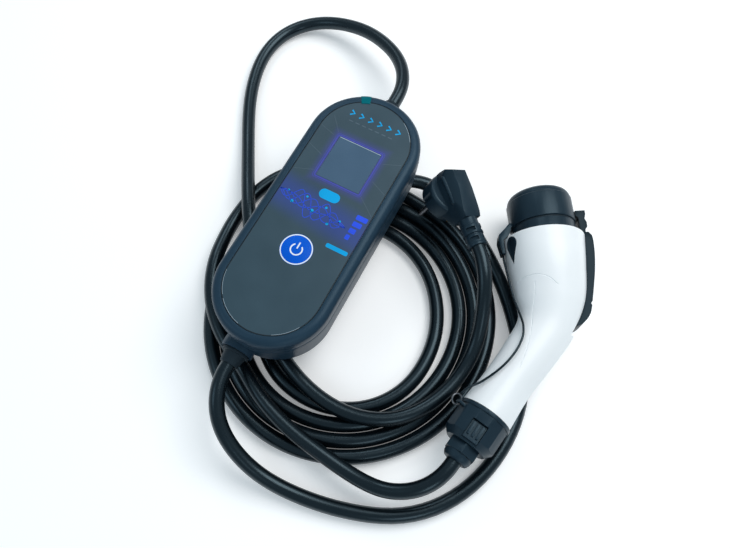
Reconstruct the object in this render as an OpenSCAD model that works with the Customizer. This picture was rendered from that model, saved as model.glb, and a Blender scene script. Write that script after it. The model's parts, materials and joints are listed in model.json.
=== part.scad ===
// Portable electric-vehicle charger
// A control box lies on a flat coil of cable, with a vehicle connector and an angled mains plug beside it.

/* [Control box] */
// Length of the control box
box_l = 236; // [210:1:260]
// Width of the control box
box_w = 95; // [88:1:105]
// Height of the rear shell
shell_h = 34; // [31:1:42]
// Height of the front cover
cover_h = 14; // [12:1:20]
// Wall thickness of the box mouldings
wall = 3; // [2.4:0.1:4]
// Inward lean of the rear shell's wall over its height
shell_draft = 2; // [1:0.5:3]
// Radius of the box's rounded outer edges
edge_r = 6; // [3:0.5:7]
// Width of the frame round the front panel
bezel_band = 8; // [7:0.5:11]
// Thickness of the front panel
panel_t = 1.6; // [1:0.1:2.4]
// Thickness of the deck under the front panel
deck_t = 2.4; // [1.6:0.1:3]
// Length of the display window
window_l = 40; // [30:1:44]
// Width of the display window
window_w = 38; // [28:1:44]
// Distance of the display window from the box's middle
window_x = 47; // [40:1:50]
// Diameter of the round touch key
key_d = 26; // [18:0.5:30]
// Distance of the touch key from the box's middle
key_x = -37; // [-45:1:-30]
// Thickness of the circuit board
board_t = 1.6; // [1:0.2:2.4]
// Length of the circuit board
board_l = 160; // [140:1:166]
// Width of the circuit board
board_w = 60; // [56:1:62]
// Height of the posts under the circuit board
post_h = 13; // [8:0.5:14]

/* [Cable] */
// Diameter of the cable
cable_d = 12; // [9:0.5:12]
// Turns in the flat coil
coil_turns = 4; // [2:1:4]
// Radius of the coil's innermost turn
coil_r = 79; // [79:1:82]
// Diameter of the cable glands in the box's ends
gland_d = 18; // [16:0.5:20]
// Length of each gland's tapered sleeve
gland_l = 9; // [8:1:12]

/* [Vehicle connector] */
// Radius of the connector body at its front
body_r = 32; // [31:0.5:32]
// Wall thickness of the connector shell
shell_t = 3; // [2.4:0.1:3.4]
// Radius of the nose tube
nose_r = 24; // [23:0.5:24]
// Length of the nose in front of the body
nose_l = 34; // [30:1:38]
// Outside radius of the dust cap
cap_r = 27; // [26.6:0.1:27.2]
// Length of the dust cap
cap_l = 29; // [27:0.5:33]
// Half width of the latch lever
lever_half = 10; // [9.6:0.2:10.2]
// Radius of the lever's pivot pin
lever_pin_r = 2; // [1.5:0.1:2]
// Length of the collar at the end of the handle
collar_l = 28; // [26:1:34]
// Radius of that collar
collar_r = 21; // [20.5:0.1:21]
// Length of the gland nut
nut_l = 14; // [12:0.5:14]

/* [Mains plug] */
// Radius of the plug's face
plug_r = 19.2; // [18:0.2:20]
// Radius of the plug's pins
pin_r = 2.4; // [2:0.1:2.4]
// Length of the pins
pin_l = 19; // [17:0.5:19]
// Distance between the pins
pin_gap = 19; // [17:0.5:21]

/* [Hidden] */

$fn = 48;

// Clearance of a push fit and of flat faces that lie side by side
fit = 0.05;
gap = 0.3;

// Colours
black_plastic = "#232a30";
dark_plastic = "#10161c";
panel_blue = "#33454f";
white_plastic = "#f2f4f5";
cable_black = "#15191d";
steel = "#b9bec4";
brass = "#c9a24a";
board_green = "#1f5a3a";
key_blue = "#1560d8";
tab_teal = "#167a80";

// Where the assembly's middle lies in the layout, so that box and connector centre on the origin
origin_x = 35.17;
origin_y = -9.54;

// Places in the layout: the box, the connector's front and the plug's face
box_at = [-35, 24, 2 * cable_d + gap];
box_turn = 62;
gun_at = [149, 20, body_r];
gun_turn = 4;
plug_at = [64, 50, 37];
plug_turn = 17;
plug_tilt = 30;
coil_at = [-16, -32];

// Box values
box_r = box_w / 2;
box_half = box_l / 2 - box_r;
panel_r = box_r - bezel_band;
part_z = shell_h;
top_z = shell_h + cover_h;
deck_z = top_z - panel_t - deck_t;
board_z = wall + post_h;
screw_y = 36;
screw_xs = [-60, 0, 60];
post_x = board_l / 2 - 12;
post_y = board_w / 2 - 8;
terminal_x = board_l / 2 - 24;
gland_z = shell_h / 2;
gland_r = gland_d / 2;
boss_r = gland_r + 4;
boss_l = 4;
gland_flange = 2.4;
gland_mouth = boss_l + gland_flange + gland_l;
supply_y = 4;
output_y = 7;

// Connector values: the shell's front, and stations along the body from the handle's end to it
front_y = -4;
// Each holds the centre, the lean of the section in degrees, and its half width and half height
stations = [
    [-68.5, -143, 41, 20.7, 20.7],
    [-50, -122, 41, 19, 19],
    [-31, -101, 38, 20, 19],
    [-12, -78, 24, 22.5, 19.6],
    [-5, -56, 9, 28, 25],
    [-3.2, -28, 4, body_r - 0.6, body_r - 0.7],
    [-1.3, front_y, 2, body_r + 1, body_r]
];
station_steps = 4;
arc_steps = 20;
handle_end = [-68.5, -143];
handle_bend = 41;
pivot = [23, -24];
flange_r = body_r - shell_t - 6 * gap;
flange_t = 5;
base_r = 26;
base_l = 11;
seal_t = 1.2;
cap_y = base_l + seal_t + gap;
cap_wall = 2.4;
neck_z = 20;
neck_end = 54;
spigot_r = 16.9;
spigot_l = 34;

// Routes of the cable and the lanyard: each end is fixed by its piece, the points between are chosen by hand
cable_r = cable_d / 2;
lead_in = 6;
function turned(v, a) = [v.x * cos(a) - v.y * sin(a), v.x * sin(a) + v.y * cos(a), v.z];
function tilted(v, a) = [v.x * cos(a) + v.z * sin(a), v.y, v.z * cos(a) - v.x * sin(a)];
supply_mouth = box_at + turned([box_l / 2 + gland_mouth, supply_y, gland_z], box_turn);
output_mouth = box_at + turned([-box_l / 2 - gland_mouth, output_y, gland_z], box_turn);
box_axis = turned([1, 0, 0], box_turn);
handle_axis = turned([-sin(handle_bend), -cos(handle_bend), 0], gun_turn);
nut_mouth = gun_at + turned([handle_end.x, handle_end.y, 0], gun_turn) + (collar_l + nut_l) * handle_axis;
neck_mouth = plug_at + turned(tilted([0, -neck_end, neck_z], plug_tilt), plug_turn);
neck_axis = turned([0, -1, 0], plug_turn);
supply_route = concat([supply_mouth, supply_mouth + lead_in * box_axis], [
    [32, 161, 41], [34, 173, 40.2], [33.5, 187, 38.3], [28.5, 204, 35], [19, 221, 31], [4, 239, 25.5],
    [-15, 253, 19], [-38, 262.5, 12.5], [-61, 262.5, 8], [-82, 252, 6.2], [-97, 232, 6], [-105, 208, 6],
    [-109, 180, 6], [-109, 152, 6], [-107, 122, 7], [-104, 88, 13], [-101, 60, 18.15], [-97, 25, 18.15],
    [-92, -10, 18.15], [-83, -45, 18.15], [-66, -78, 18.15], [-40, -104, 18.15], [-8, -121, 18.15],
    [24, -125, 18.15], [49, -118, 18.15], [68.5, -107, 18.15], [82, -93, 19], [90.5, -79, 22.6],
    [95, -65, 29.5], [96.5, -51, 38.5], [96.5, -37, 46.6], [95, -22, 52.2]
], [neck_mouth + lead_in * neck_axis, neck_mouth]);
lead_route = concat([output_mouth, output_mouth - lead_in * box_axis], [
    [-111.5, -111, 39.4], [-112, -124, 34.5], [-107.5, -138, 27], [-98, -153.5, 18], [-84, -168.5, 10.6],
    [-66, -180, 6.8], [-42, -191, 6], [-14, -199, 6], [20, -202, 6], [52, -195, 6], [82, -177, 6],
    [106, -151, 6], [122, -121, 6], [128, -90, 6], [126, -55, 6], [119, -20, 6], [109, 8, 6], [98, 32, 6]
]);
tail_route = concat([nut_mouth, nut_mouth + lead_in * handle_axis], [
    [51, -174.5, 31], [40, -178, 28], [26, -177.5, 23.5], [11, -173, 19.3], [-4, -166, 17],
    [-17, -157.5, 17.3], [-31, -148, 18.15], [-47, -136.5, 18.15], [-66, -120, 18.15], [-83, -101, 18.15], [-96, -82, 18.15]
]);
lanyard_d = 1.8;
lanyard_route = [
    [-87, -128, 13.8], [-81, -124, 14.6], [-72, -121, 15.4], [-60.5, -115, 17.8], [-50, -107.4, 19.2],
    [-41.5, -98.4, 19.6], [-35.8, -89, 19], [-33.4, -79.5, 16.6], [-33.2, -72, 13], [-33.8, -64, 9.5],
    [-35, -54, 6.5], [-36.2, -40, 5.4], [-36.8, -27, 3.6], [-36.9, -19, 1.6], [-36.5, -14.3, 0.5]
];

// A list of points on an arc in a profile
function arc(c, r, from, to, n = 6) =
    [for (i = [0:n]) c + r * [cos(from + (to - from) * i / n), sin(from + (to - from) * i / n)]];

// A point between four neighbours on a smooth curve
function blend(a, b, c, d, t) =
    0.5 * (2 * b + (c - a) * t + (2 * a - 5 * b + 4 * c - d) * t * t + (3 * b - a - 3 * c + d) * t * t * t);

// A smooth list through the given values, with n steps between neighbours
function smooth(p, n) = let (last = len(p) - 1) concat(
    [for (i = [0:last - 1], k = [0:n - 1])
        blend(i > 0 ? p[i - 1] : 2 * p[0] - p[1], p[i], p[i + 1],
              i + 2 <= last ? p[i + 2] : 2 * p[last] - p[last - 1], k / n)],
    [p[last]]);

function unit(v) = v / norm(v);

// Side faces between neighbouring rings of n points each
function side_faces(rings, n) = [for (i = [0:rings - 2], j = [0:n - 1])
    [i * n + j, i * n + (j + 1) % n, (i + 1) * n + (j + 1) % n, (i + 1) * n + j]];

// A round cord of one radius along a route
module cord(route, r, sides) {
    last = len(route) - 1;
    points = [for (i = [0:last]) let (
        t = unit(route[min(i + 1, last)] - route[max(i - 1, 0)]),
        side = unit(cross(t, [0, 0, 1])),
        up = cross(side, t)
    ) for (j = [0:sides - 1]) let (a = 360 * j / sides) route[i] + r * (cos(a) * side + sin(a) * up)];
    caps = [[for (j = [sides - 1:-1:0]) j], [for (j = [0:sides - 1]) last * sides + j]];
    polyhedron(points, concat(side_faces(last + 1, sides), caps), convexity = 10);
}

module layout() {
    translate([-origin_x, -origin_y, 0]) children();
}

module in_box() {
    layout() translate(box_at) rotate(box_turn) children();
}

module in_gun() {
    layout() translate(gun_at) rotate(gun_turn) children();
}

// Frame with z forward along the nose and x towards the lever
module on_nose() {
    in_gun() translate([0, front_y, 0]) rotate([-90, 0, 0]) children();
}

// Frame with z outward along the handle's end and y up
module on_handle() {
    in_gun() translate(handle_end) rotate([0, 0, -handle_bend]) rotate([90, 0, 0]) children();
}

module in_plug() {
    layout() translate(plug_at) rotate([0, 0, plug_turn]) rotate([0, plug_tilt, 0]) children();
}

// A long body with round ends: the half profile runs from the middle line outward
module round_ended(profile, half) {
    for (turn = [0, 180]) {
        rotate(turn) translate([half, 0, 0]) rotate(-90) rotate_extrude(angle = 180) polygon(profile);
    }
    translate([-half, 0, 0]) rotate([90, 0, 90]) linear_extrude(2 * half) {
        polygon(profile);
        mirror([1, 0]) polygon(profile);
    }
}

// A plain plate with round ends
module round_ended_plate(r, half, h) {
    round_ended([[0, 0], [r, 0], [r, h], [0, h]], half);
}

module at_box_screws() {
    for (x = screw_xs, side = [-1, 1]) {
        translate([x, side * screw_y, 0]) children();
    }
}

module at_posts() {
    for (x = [-post_x, post_x], side = [-1, 1]) {
        translate([x, side * post_y, 0]) children();
    }
}

// Frame at a cable exit with z outward: the supply end, or the output end with its offset
module at_supply_exit() {
    translate([box_l / 2, supply_y, gland_z]) rotate([0, 90, 0]) children();
}

module at_output_exit() {
    translate([-box_l / 2, output_y, gland_z]) rotate([0, -90, 0]) children();
}

// Control box

groove = 0.6;
screw_r = 1.5;
screw_head_r = 2.9;
screw_head_h = 2.2;
screw_seat_z = 20;
column_r = 4.2;
board_screw_r = 1.25;
pilot_depth = 8;

module rear_shell() {
    foot_r = box_r - shell_draft;
    outer = concat([[0, 0]], arc([foot_r - edge_r, edge_r], edge_r, -90, 0),
                   [[box_r, part_z - groove], [box_r - groove, part_z], [0, part_z]]);
    inner_edge = edge_r - wall;
    inner = concat([[0, wall]], arc([foot_r - edge_r, edge_r], max(inner_edge, 0.5), -90, 0),
                   [[box_r - wall, part_z + 1], [0, part_z + 1]]);
    seal_r = box_r - wall / 2;
    color(black_plastic) in_box() difference() {
        union() {
            difference() {
                union() {
                    round_ended(outer, box_half);
                    at_supply_exit() translate([0, 0, -10]) cylinder(r = boss_r, h = 10 + boss_l);
                    at_output_exit() translate([0, 0, -10]) cylinder(r = boss_r, h = 10 + boss_l);
                }
                round_ended(inner, box_half);
            }
            at_box_screws() translate([0, 0, wall / 2]) cylinder(r = column_r, h = part_z - wall / 2);
            at_posts() translate([0, 0, wall / 2]) cylinder(r = 4, h = board_z - wall / 2);
        }
        at_supply_exit() translate([0, 0, -20]) cylinder(r = gland_r + fit, h = 40);
        at_output_exit() translate([0, 0, -20]) cylinder(r = gland_r + fit, h = 40);
        at_box_screws() {
            translate([0, 0, -1]) cylinder(r = screw_head_r + gap, h = screw_seat_z + 1);
            cylinder(r = screw_r + gap, h = part_z + 1);
        }
        at_posts() translate([0, 0, board_z - pilot_depth - 1])
            cylinder(r = board_screw_r + fit, h = pilot_depth + 2);
        translate([0, 0, part_z - seal_depth]) difference() {
            round_ended_plate(seal_r + seal_w / 2, box_half, seal_depth + 1);
            translate([0, 0, -1]) round_ended_plate(seal_r - seal_w / 2, box_half, seal_depth + 3);
        }
    }
}

seal_w = 1;
seal_depth = 1.2;

module sealing_gasket() {
    seal_r = box_r - wall / 2;
    color(dark_plastic) in_box() translate([0, 0, part_z - seal_depth]) difference() {
        round_ended_plate(seal_r + seal_w / 2 - fit, box_half, seal_depth);
        translate([0, 0, -1]) round_ended_plate(seal_r - seal_w / 2 + fit, box_half, seal_depth + 2);
    }
}

module front_cover() {
    recess_z = top_z - panel_t;
    profile = concat(
        [[0, deck_z], [box_r - wall, deck_z], [box_r - wall, part_z], [box_r - groove, part_z],
         [box_r, part_z + groove]],
        arc([box_r - edge_r, top_z - edge_r], edge_r, 0, 90),
        [[panel_r, top_z], [panel_r, recess_z], [0, recess_z]]);
    color(black_plastic) in_box() difference() {
        union() {
            round_ended(profile, box_half);
            at_box_screws() translate([0, 0, part_z])
                cylinder(r = column_r, h = deck_z + deck_t / 2 - part_z);
        }
        translate([window_x, 0, deck_z]) cube([window_l - 4, window_w - 4, 4 * deck_t], center = true);
        at_box_screws() translate([0, 0, part_z - 1]) cylinder(r = screw_r + fit, h = pilot_depth + 1.5);
    }
}

module fascia_panel() {
    color(panel_blue) in_box() translate([0, 0, top_z - panel_t]) difference() {
        round_ended_plate(panel_r - gap, box_half, panel_t);
        translate([window_x, 0, 0]) cube([window_l, window_w, 4 * panel_t], center = true);
        translate([key_x, 0, -1]) cylinder(d = key_d, h = panel_t + 2);
    }
}

module display_window() {
    color("#3c5262") in_box() translate([window_x, 0, top_z - panel_t / 2])
        cube([window_l - 2 * fit, window_w - 2 * fit, panel_t], center = true);
}

module lcd_module() {
    lcd_h = 6;
    color("#5a6670") in_box() translate([window_x, 0, deck_z - lcd_h / 2])
        cube([window_l + 4, window_w + 4, lcd_h], center = true);
}

module touch_key() {
    color(key_blue) in_box() translate([key_x, 0, top_z - panel_t]) cylinder(d = key_d - 2 * fit, h = panel_t);
}

tab_t = 0.4;
tab_span = 11;
tab_turn = 24;

// Film tab that lies across the panel's rim and hangs over the cover's rounded edge
module film_pull_tab() {
    centre = [box_r - edge_r, top_z - edge_r];
    inner_r = edge_r + fit;
    tab_from = panel_r - 2;
    color(tab_teal) in_box() translate([box_half, 0, 0]) rotate(tab_turn - tab_span / 2)
        rotate_extrude(angle = tab_span) polygon(concat(
            [[tab_from, top_z + fit]], arc(centre, inner_r, 90, 30),
            arc(centre, inner_r + tab_t, 30, 90), [[tab_from, top_z + fit + tab_t]]));
}

module main_board() {
    color(board_green) in_box() translate([0, 0, board_z]) difference() {
        translate([-board_l / 2, -board_w / 2, 0]) cube([board_l, board_w, board_t]);
        at_posts() translate([0, 0, -1]) cylinder(r = board_screw_r + gap, h = board_t + 2);
    }
}

module board_screws() {
    color(steel) in_box() at_posts() {
        translate([0, 0, board_z + board_t]) cylinder(r = 2.6, h = 1.8);
        translate([0, 0, board_z - pilot_depth]) cylinder(r = board_screw_r, h = pilot_depth + board_t + 0.1);
    }
}

// Block seated on the board: size and place of its middle
module on_board(size, at) {
    in_box() translate([at.x - size.x / 2, at.y - size.y / 2, board_z + board_t]) cube(size);
}

relay_size = [30, 16, 19];
relay_at = [-32, 14];
toroid_r = 13;
toroid_bore_r = 6;
toroid_h = 10;
transformer_size = [26, 24, 17];
transformer_at = [34, 10];
capacitor_r = 5;
capacitor_h = 15;
capacitor_xs = [26, 40];
capacitor_y = -18;

module power_relays() {
    color("#1d3f8c") for (side = [-1, 1]) {
        on_board(relay_size, [relay_at.x, side * relay_at.y]);
    }
}

module current_transformer() {
    color("#2a2d30") in_box() translate([2, 0, board_z + board_t]) difference() {
        cylinder(r = toroid_r, h = toroid_h);
        translate([0, 0, -1]) cylinder(r = toroid_bore_r, h = toroid_h + 2);
    }
}

module supply_transformer() {
    color("#c9b24a") on_board(transformer_size, transformer_at);
}

module smoothing_capacitors() {
    color("#30343a") in_box() for (x = capacitor_xs) {
        translate([x, capacitor_y, board_z + board_t]) cylinder(r = capacitor_r, h = capacitor_h);
    }
}

// Terminal block with a row of wire holes facing its end of the box
module terminals(x) {
    size = [14, 32, 12];
    ways = 4;
    color("#2f7d4f") difference() {
        on_board(size, [x, 0]);
        in_box() for (k = [0:ways - 1]) {
            translate([x - size.x, (k - (ways - 1) / 2) * 7.5, board_z + board_t + 5]) rotate([0, 90, 0])
                cylinder(r = 2, h = 2 * size.x);
        }
    }
}

module supply_terminals() {
    terminals(terminal_x);
}

module output_terminals() {
    terminals(-terminal_x);
}

module housing_screws() {
    color(steel) in_box() at_box_screws() {
        translate([0, 0, screw_seat_z - screw_head_h]) cylinder(r = screw_head_r, h = screw_head_h);
        translate([0, 0, screw_seat_z - 0.1]) cylinder(r = screw_r, h = part_z + pilot_depth - screw_seat_z);
    }
}

// Rubber gland: a sleeve in the boss, a flange against it and a tapered mouth for the cable
module gland() {
    sleeve_l = 16;
    core_r = cable_r - 1;
    flange_end = boss_l + gland_flange;
    rotate_extrude() polygon([
        [core_r, boss_l - sleeve_l], [gland_r, boss_l - sleeve_l], [gland_r, boss_l], [gland_r + 2, boss_l],
        [gland_r + 2, flange_end], [gland_r, flange_end], [cable_r + 1.4, gland_mouth],
        [core_r, gland_mouth]]);
}

module supply_gland() {
    color(dark_plastic) in_box() at_supply_exit() gland();
}

module output_gland() {
    color(dark_plastic) in_box() at_output_exit() gland();
}

// Vehicle connector

// Rim of one section of the loft, set in by a drop, from the right over the top to the left
function rim(s, drop) = [for (k = [0:arc_steps]) let (
    a = 180 * k / arc_steps,
    across = [cos(s[2]), -sin(s[2]), 0] * (s[3] - drop) * cos(a)
) [s[0], s[1], 0] + across + [0, 0, (s[4] - drop) * sin(a)]];
function reversed(p) = [for (k = [len(p) - 1:-1:0]) p[k]];
body_rings = smooth(stations, station_steps);

// One half of the lofted connector shell, above its parting plane
module shell_half() {
    n = arc_steps;
    loop = 2 * (n + 1);
    points = [for (s = body_rings) each concat(rim(s, 0), reversed(rim(s, shell_t)))];
    last = (len(body_rings) - 1) * loop;
    caps = [for (k = [0:n - 1]) each [
        [k, loop - 1 - k, loop - 2 - k, k + 1],
        [last + k, last + k + 1, last + loop - 2 - k, last + loop - 1 - k]]];
    polyhedron(points, concat(side_faces(len(body_rings), loop), caps), convexity = 8);
}

// Screw bosses of one half, which end in the thickness of the shell's wall
module shell_bosses() {
    loop = arc_steps + 1;
    last = (len(body_rings) - 1) * loop;
    caps = [[for (k = [loop - 1:-1:0]) k], [for (k = [0:loop - 1]) last + k]];
    points = [for (s = body_rings) each rim(s, shell_t / 2)];
    intersection() {
        for (p = body_screw_places) {
            translate(p) cylinder(r = body_boss_r, h = body_r);
        }
        polyhedron(points, concat(side_faces(len(body_rings), loop), caps), convexity = 8);
    }
}

// Slot for the lever, with room for its travel and for the bracket inside
module lever_slot() {
    translate([0, 0, -lever_half - 0.6]) linear_extrude(2 * lever_half + 1.2) polygon([
        [25.4, 6], [25.4, -12], [16.4, -12], [16.4, -35], [22.4, -35], [18.9, -46], [14.6, -58], [10.8, -68],
        [5.5, -76], [0, -82.5], [3, -88], [60, -88], [60, 6]]);
}

body_screw_places = [[-24, -20], [12, -52], [-17, -85], [-52, -124]];
body_screw_seat = 9;
body_boss_r = 3.6;

module body_upper() {
    color(white_plastic) in_gun() difference() {
        union() {
            shell_half();
            shell_bosses();
        }
        lever_slot();
        side_recess(gap, side_floor);
        for (p = body_screw_places) {
            translate([p.x, p.y, -1]) cylinder(r = screw_r + fit, h = pilot_depth + 1.5);
        }
    }
}

module body_lower() {
    head_bore = screw_head_r + gap / 2;
    color(white_plastic) in_gun() difference() {
        mirror([0, 0, 1]) union() {
            shell_half();
            shell_bosses();
        }
        lever_slot();
        for (p = body_screw_places) {
            translate([p.x, p.y, -body_r - 1]) cylinder(r = head_bore, h = body_r + 1 - body_screw_seat);
            translate([p.x, p.y, -body_r]) cylinder(r = screw_r + gap / 2, h = body_r + 1);
        }
    }
}

module body_screws() {
    color(steel) in_gun() for (p = body_screw_places) {
        translate([p.x, p.y, -body_screw_seat - screw_head_h]) cylinder(r = screw_head_r, h = screw_head_h);
        translate([p.x, p.y, -body_screw_seat - 0.1])
            cylinder(r = screw_r, h = body_screw_seat + pilot_depth);
    }
}

// Teardrop prism through the shell's side, square to the wall, with its outline moved out by a distance
side_turn = 68;
side_at = [-1.3, -10];
side_r = 6.5;
side_tail = 17;
side_floor = body_r - 4.5;
insert_floor = body_r - shell_t;

module side_recess(grow, floor) {
    r = side_r + grow;
    tail = side_tail + 1.5 * grow;
    tangent = acos(r / tail);
    translate(side_at) rotate([0, -side_turn, 0]) translate([0, 0, floor]) linear_extrude(8)
        polygon(concat(arc([0, 0], r, tangent - 90, 270 - tangent, 18), [[0, -tail]]));
}

// Drum about the nose's axis that trims the insert's faces
module side_drum(r) {
    rotate([90, 0, 0]) translate([side_at.x, 0, -10]) cylinder(r = r, h = 60);
}

module side_insert() {
    proud = 1;
    sunk = 0.5;
    rim_w = 1.6;
    color(dark_plastic) in_gun() difference() {
        intersection() {
            side_recess(0, insert_floor);
            side_drum(body_r + proud);
        }
        difference() {
            side_recess(-rim_w, insert_floor + 1);
            side_drum(body_r - sunk);
        }
    }
}

module nose_housing() {
    bore_r = nose_r - 3;
    core_r = spigot_r - 3;
    color(dark_plastic) on_nose() difference() {
        union() {
            rotate_extrude() polygon([
                [core_r, -spigot_l], [spigot_r, -spigot_l], [spigot_r, -flange_t], [flange_r, -flange_t],
                [flange_r, 0], [base_r, 0], [base_r, base_l], [nose_r, base_l], [nose_r, nose_l],
                [bore_r, nose_l], [bore_r, 2], [core_r, 2]]);
            translate([core_r, -8, -spigot_l]) cube([spigot_r - core_r + 0.1, 16, spigot_l - flange_t]);
        }
        // Clearance for the lever's arm beside the flange
        translate([25.4, -lever_half - 0.6, -flange_t - 1]) cube([10, 2 * lever_half + 1.2, flange_t + 1.01]);
    }
}

module nose_seal() {
    color("#0b0e11") on_nose() translate([0, 0, base_l]) difference() {
        cylinder(r = base_r, h = seal_t);
        translate([0, 0, -1]) cylinder(r = nose_r + fit, h = seal_t + 2);
    }
}

// Contact places in the nose, seen from the front
power_places = [[-7.5, 5.5], [7.5, 5.5]];
earth_place = [0, -8];
signal_places = [[-9.4, -6.6], [9.4, -6.6]];
power_r = 3.6;
signal_r = 2.1;
carrier_l = nose_l - 6;

module contact_carrier() {
    color("#1a2026") on_nose() translate([0, 0, 2]) difference() {
        cylinder(r = nose_r - 3 - fit, h = carrier_l);
        for (p = concat(power_places, [earth_place])) {
            translate([p.x, p.y, -1]) cylinder(r = power_r + fit, h = carrier_l + 2);
        }
        for (p = signal_places) {
            translate([p.x, p.y, -1]) cylinder(r = signal_r + fit, h = carrier_l + 2);
        }
    }
}

// A round socket contact, open at its front, with a solder tail behind
module socket(r) {
    tail_l = 6;
    translate([0, 0, 2]) difference() {
        union() {
            cylinder(r = r, h = carrier_l - 2);
            translate([0, 0, -tail_l]) cylinder(r = r * 0.6, h = tail_l + 0.1);
        }
        translate([0, 0, 4]) cylinder(r = r * 0.62, h = carrier_l);
    }
}

module power_contacts() {
    color(brass) on_nose() for (p = power_places) {
        translate(p) socket(power_r);
    }
}

module earth_contact() {
    color(brass) on_nose() translate(earth_place) socket(power_r);
}

module signal_contacts() {
    color(brass) on_nose() for (p = signal_places) {
        translate(p) socket(signal_r);
    }
}

// Bracket that carries the lever's pin
hub_low = -7.6;
hub_high = 5;
ear_in = 7.9;
ear_out = 10.2;

module latch_bracket() {
    base_t = 2;
    ear_half = 3;
    color(dark_plastic) in_gun() difference() {
        union() {
            translate([spigot_r + 0.1, -33, -ear_out]) cube([base_t, 19, 2 * ear_out]);
            for (z = [-ear_out, ear_in]) {
                translate([spigot_r + 0.1, pivot.y - ear_half, z])
                    cube([pivot.x - spigot_r - 0.1, 2 * ear_half, ear_out - ear_in]);
                translate([pivot.x, pivot.y, z]) cylinder(r = ear_half, h = ear_out - ear_in);
            }
        }
        translate([pivot.x, pivot.y, -ear_out - 1]) cylinder(r = lever_pin_r + fit / 2, h = 2 * ear_out + 2);
    }
}

module lever_pin() {
    color(steel) in_gun() translate([pivot.x, pivot.y, -ear_out]) cylinder(r = lever_pin_r, h = 2 * ear_out);
}

// Torsion spring round the pin, between the lever's hub and the upper ear
module lever_spring() {
    wire_r = 0.4;
    mean_r = lever_pin_r + 0.95;
    pitch = 0.7;
    low = hub_high + 0.7;
    leg_l = 4.4;
    color(steel) in_gun() translate([pivot.x, pivot.y, 0]) {
        rotate_extrude() for (k = [0:2]) {
            translate([mean_r, low + pitch * k]) circle(wire_r, $fn = 24);
        }
        translate([-mean_r, 0, low]) rotate([90, 0, 0]) cylinder(r = 0.8 * wire_r, h = leg_l, $fn = 24);
    }
}

module latch_lever() {
    hub_r = 3.5;
    arm_half = 5.5;
    back = smooth([[36, -5], [36.3, -10], [35.2, -22], [32.6, -36], [29, -50], [25.8, -61.4]], 3);
    pad = smooth([[24.9, -64.8], [22.6, -71], [18.8, -76], [14.4, -79.4], [10, -81]], 3);
    front = smooth([
        [8.8, -79.8], [13, -75.4], [16.8, -68.5], [19.4, -60.5], [22.2, -48.5], [25.6, -34.5], [27.6, -20],
        [27.6, -1.8]], 3);
    strip = concat([[33.8, -1.8]], back, [[24.3, -63.2]], pad, front);
    web = [[pivot.x, pivot.y - 3.4], [27.8, -31], [28.8, -17], [pivot.x, pivot.y + 3.4]];
    hook = [
        [27.6, -9], [32, -11], [33.5, 2.5], [35.5, 5], [35.7, 9], [34.5, 12.5], [35.9, 16.5], [35.9, 20],
        [27.6, 20], [27.6, 15.2], [29.5, 14], [28.9, 1.5]];
    color(black_plastic) in_gun() difference() {
        union() {
            translate([0, 0, -lever_half]) linear_extrude(2 * lever_half) polygon(strip);
            translate([0, 0, hub_low]) linear_extrude(hub_high - hub_low) {
                polygon(web);
                translate(pivot) circle(hub_r);
            }
            translate([0, 0, -arm_half]) linear_extrude(2 * arm_half) polygon(hook);
        }
        translate([pivot.x, pivot.y, -lever_half - 1])
            cylinder(r = lever_pin_r + fit, h = 2 * lever_half + 2);
    }
}

module dust_cap() {
    crown = 6;
    rim_step = 0.74 * cap_l;
    step = 0.8;
    upper_r = cap_r - step;
    skin = 3;
    lug_half = 5;
    eye_r = 1.6;
    lug = [
        [-25.6, 12.5], [-28.6, 12.5], [-33.5, 7.5], [-38.4, 3], [-39.4, -2], [-37.8, -14], [-35.2, -14],
        [-35.4, -2], [-31, 1.4], [-28.8, 4.6], [-27.4, 9], [-25.6, 9]];
    color(dark_plastic) difference() {
        union() {
            on_nose() translate([0, 0, cap_y]) rotate_extrude() polygon(concat(
                [[0, 0], [cap_r - 0.5, 0], [cap_r, 0.5], [cap_r, rim_step], [upper_r, rim_step + step]],
                arc([upper_r - crown, cap_l - crown], crown, 0, 90),
                [[0, cap_l]]));
            in_gun() translate([0, 0, -lug_half]) linear_extrude(2 * lug_half) polygon(lug);
        }
        on_nose() translate([0, 0, cap_y - 1]) cylinder(r = cap_r - cap_wall, h = cap_l - skin + 1);
        in_gun() translate([-45, -10, 0]) rotate([0, 90, 0]) cylinder(r = eye_r, h = 15);
    }
}

// Twelve-sided collar with a window open to its rear and an eye for the lanyard's ring
window_w_collar = 13;
window_z = 11;
window_floor = collar_r - 6;
eye_turn = 150;
eye_z = 6;
eye_at = collar_r + 2.6;

module end_collar() {
    rim_l = 3;
    rim_proud = 0.4;
    chamfer = 7;
    rear_r = collar_r - 5;
    bore_r = collar_r - 7;
    bore_l = collar_l - chamfer - 1;
    tail_r = 9;
    inset = 10;
    inset_r = 16;
    color(dark_plastic) on_handle() difference() {
        union() {
            cylinder(r = collar_r + rim_proud, h = rim_l);
            intersection() {
                translate([0, 0, 1]) rotate(15) cylinder(r = collar_r, h = collar_l, $fn = 12);
                rotate_extrude() polygon([
                    [0, 0.5], [collar_r + 1, 0.5], [collar_r + 1, collar_l - chamfer], [rear_r, collar_l],
                    [0, collar_l]]);
            }
            translate([0, 0, -inset]) cylinder(r = inset_r, h = inset + 2);
            rotate(eye_turn) translate([collar_r - 3, -2.5, eye_z - 1]) cube([8, 5, 2]);
        }
        rotate_extrude() polygon([
            [0, -inset - 1], [bore_r, -inset - 1], [bore_r, bore_l], [tail_r, bore_l], [tail_r, collar_l + 1],
            [0, collar_l + 1]]);
        translate([-window_w_collar / 2, window_floor, window_z]) cube([window_w_collar, collar_r, collar_l]);
        rotate(eye_turn) translate([eye_at, 0, eye_z - 2]) cylinder(r = 1.5, h = 4);
    }
}

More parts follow.
